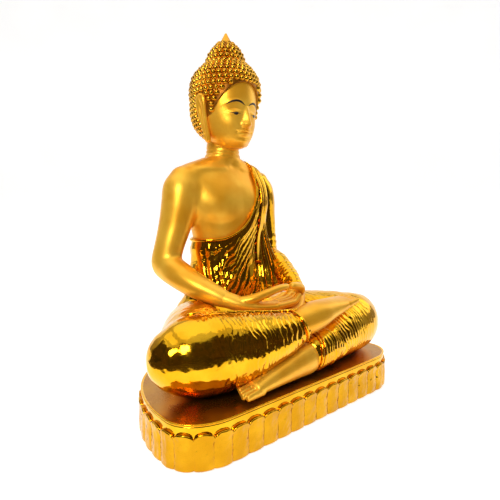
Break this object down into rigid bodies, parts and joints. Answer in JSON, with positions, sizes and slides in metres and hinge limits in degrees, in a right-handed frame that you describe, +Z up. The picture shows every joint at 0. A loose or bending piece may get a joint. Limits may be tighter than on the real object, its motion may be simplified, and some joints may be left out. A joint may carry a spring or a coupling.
{
  "type": "buddha statue",
  "caption": "Seated meditating figure in a pleated robe baring the right shoulder, hands in the lap, on a lotus-petal plinth with a flat felted underside.",
  "frame": {"origin": "on the table, under the middle of the statue's overall length and depth", "axes": "+Z up, the figure faces -Y, its right hand side is -X"},
  "size_m": [0.2399, 0.1448, 0.319],
  "materials": {
    "bright_gold": "polished gold lacquer",
    "satin_gold": "satin gold paint",
    "steel": "zinc plated",
    "felt": "felt",
    "board": "raw board"
  },
  "bodies": {
    "root": {"plinth_core": "bright_gold", "lotus_band": "bright_gold", "seat_deck": "bright_gold", "bottom_cover": "board", "felt_pad": "felt", "cover_screw_1": "steel", "cover_screw_2": "steel", "cover_screw_3": "steel", "cover_screw_4": "steel", "tie_stud_1": "steel", "tie_stud_2": "steel", "tie_washer_1": "steel", "tie_washer_2": "steel", "tie_nut_1": "steel", "tie_nut_2": "steel", "hips": "bright_gold", "left_leg": "bright_gold", "right_leg": "bright_gold", "right_foot": "satin_gold", "left_foot": "satin_gold", "torso": "satin_gold", "robe": "bright_gold", "sash": "bright_gold", "neck_dowel": "steel", "right_shoulder_peg": "steel", "left_shoulder_peg": "steel", "right_arm": "satin_gold", "left_arm": "bright_gold", "right_hand": "satin_gold", "left_hand": "satin_gold", "right_wrist_peg": "steel", "left_wrist_peg": "steel", "head": "satin_gold", "hair_cap": "satin_gold", "right_ear": "satin_gold", "left_ear": "satin_gold", "flame_finial": "satin_gold"}
  },
  "joints": []
}
